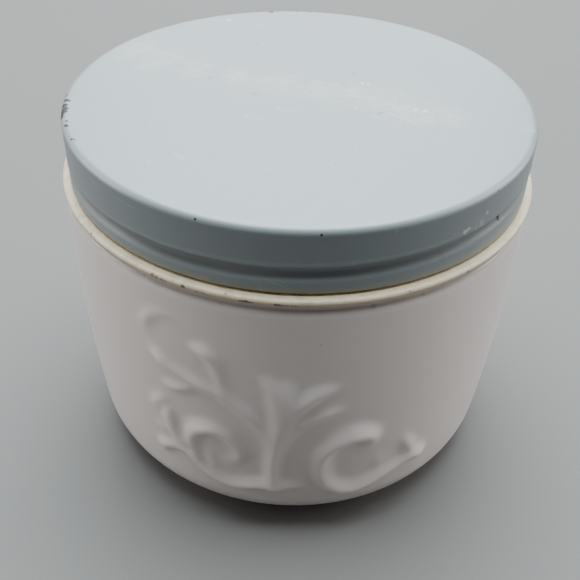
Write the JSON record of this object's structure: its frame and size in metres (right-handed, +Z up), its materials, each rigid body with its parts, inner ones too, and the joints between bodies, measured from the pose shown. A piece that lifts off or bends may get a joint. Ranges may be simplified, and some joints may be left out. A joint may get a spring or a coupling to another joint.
{
  "type": "screw-top cosmetic cream jar",
  "caption": "Low wide round jar of opal glass with rounded heel, beaded neck ring and flat screw lid of lacquered tinplate with a rolled thread.",
  "frame": {"origin": "centre of the foot ring, on the surface the jar stands on", "axes": "+Z up along the axis of the jar and lid, +X to the right and -Y towards the viewer"},
  "size_m": [0.0874, 0.0874, 0.072],
  "materials": {
    "opal_glass": "fire-polished opaque opal glass, stained ivory at the bead",
    "lacquered_tinplate": "satin pale blue-grey lacquer on tinplate, worn and chipped, rusted at the hem",
    "pulp_board": "pressed pulp board",
    "waxed_paper": "waxed paper facing"
  },
  "bodies": {
    "jar": {"jar_body": "opal_glass"},
    "liner": {"liner_board": "pulp_board", "liner_facing": "waxed_paper"},
    "lid": {"lid_shell": "lacquered_tinplate"}
  },
  "joints": [
    {"name": "lid_lift", "type": "slide", "parent": "jar", "child": "liner", "axis": [0, 0, 1], "range_m": [0, 0.02032]},
    {"name": "lid_turn", "type": "hinge", "parent": "liner", "child": "lid", "pos_m": [0, 0, 0.066], "axis": [0, 0, 1], "range_deg": [0, 1440]}
  ],
  "couplings": [
    {"joint": "lid_lift", "follows": "lid_turn", "m_per_rad": 0.00080851}
  ]
}
